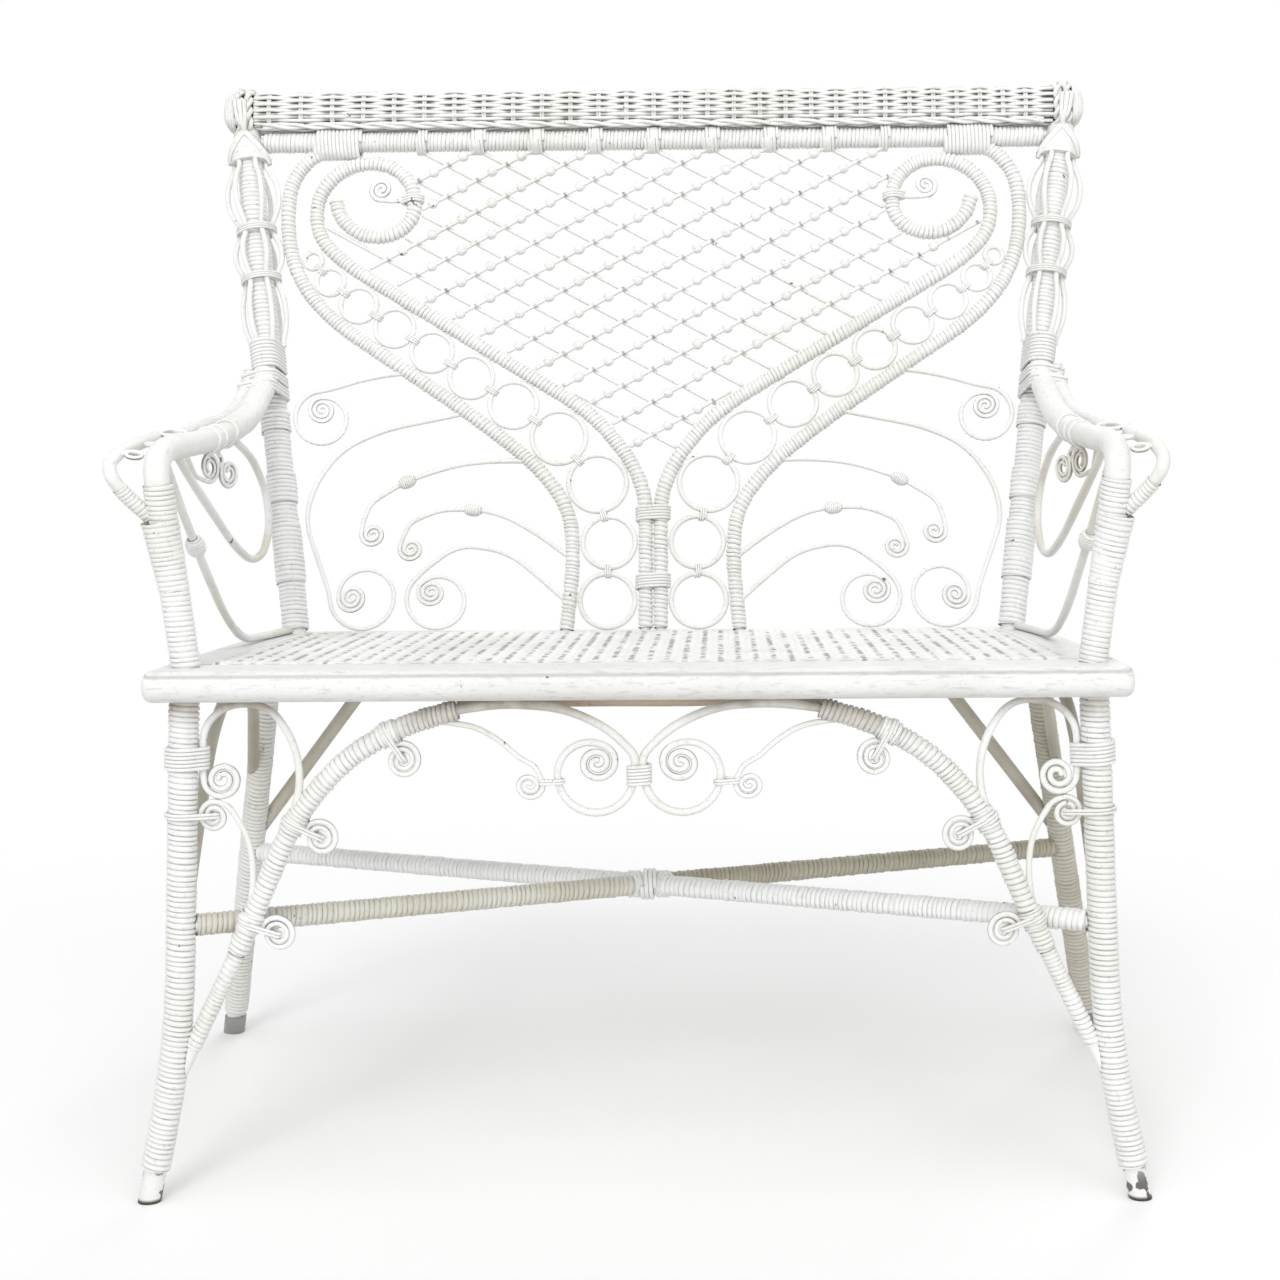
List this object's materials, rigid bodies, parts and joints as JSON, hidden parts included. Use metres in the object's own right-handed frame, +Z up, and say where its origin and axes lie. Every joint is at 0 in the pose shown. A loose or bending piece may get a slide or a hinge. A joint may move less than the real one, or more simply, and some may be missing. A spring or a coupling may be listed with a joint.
{
  "type": "rattan garden bench",
  "caption": "White painted wicker settee: reed-wrapped legs and arms, caned seat, woven crest roll, and an open back of V bands, rings, lattice and scrolls.",
  "frame": {"origin": "on the floor under the middle of the bench's bounding box", "axes": "+Z up, -Y towards the sitter's front, +X to the right as seen from the front"},
  "size_m": [0.9366, 0.5944, 0.9978],
  "materials": {
    "reed_wrap": "aged white paint on reed",
    "painted_rod": "aged white paint",
    "seat_wood": "aged white paint",
    "woven_cane": "white paint on woven cane",
    "foot_cap": "dull grey metal"
  },
  "bodies": {
    "root": {"apron_coils": "painted_rod", "apron_scrolls": "painted_rod", "arch_wraps": "reed_wrap", "arm_loops": "painted_rod", "arm_outer_rod_left": "painted_rod", "arm_outer_rod_right": "painted_rod", "arm_pole_left": "painted_rod", "arm_pole_right": "painted_rod", "arm_post_wraps": "reed_wrap", "arm_scrolls": "painted_rod", "back_post_left": "painted_rod", "back_post_right": "painted_rod", "back_scrolls_left": "painted_rod", "back_scrolls_right": "painted_rod", "back_top_rail": "painted_rod", "cage_reeds": "reed_wrap", "cage_ties": "reed_wrap", "cane_spline": "woven_cane", "corner_scrolls": "painted_rod", "crest_ends": "reed_wrap", "crest_roll": "reed_wrap", "crest_strip": "seat_wood", "front_arch_left": "painted_rod", "front_arch_right": "painted_rod", "front_leg_left": "painted_rod", "front_leg_right": "painted_rod", "lattice_beads": "seat_wood", "lattice_falling": "painted_rod", "lattice_rising": "painted_rod", "leg_wraps": "reed_wrap", "pole_bindings": "reed_wrap", "post_caps": "seat_wood", "post_wraps": "reed_wrap", "rear_braces": "painted_rod", "rear_foot_caps": "foot_cap", "rear_leg_left": "painted_rod", "rear_leg_right": "painted_rod", "ring_chain_left": "painted_rod", "ring_chain_right": "painted_rod", "scroll_knobs": "seat_wood", "seat_cane": "woven_cane", "seat_dowels": "seat_wood", "seat_front_rail": "seat_wood", "seat_left_rail": "seat_wood", "seat_rear_rail": "seat_wood", "seat_right_rail": "seat_wood", "side_arches": "painted_rod", "snail_coils": "painted_rod", "stem_ties": "reed_wrap", "stretcher_binding": "reed_wrap", "stretcher_left": "painted_rod", "stretcher_right": "painted_rod", "stretcher_wraps": "reed_wrap", "top_rail_wrap": "reed_wrap", "v_inner_left": "painted_rod", "v_inner_right": "painted_rod", "v_outer_left": "painted_rod", "v_outer_right": "painted_rod", "v_wraps": "reed_wrap"}
  },
  "joints": []
}
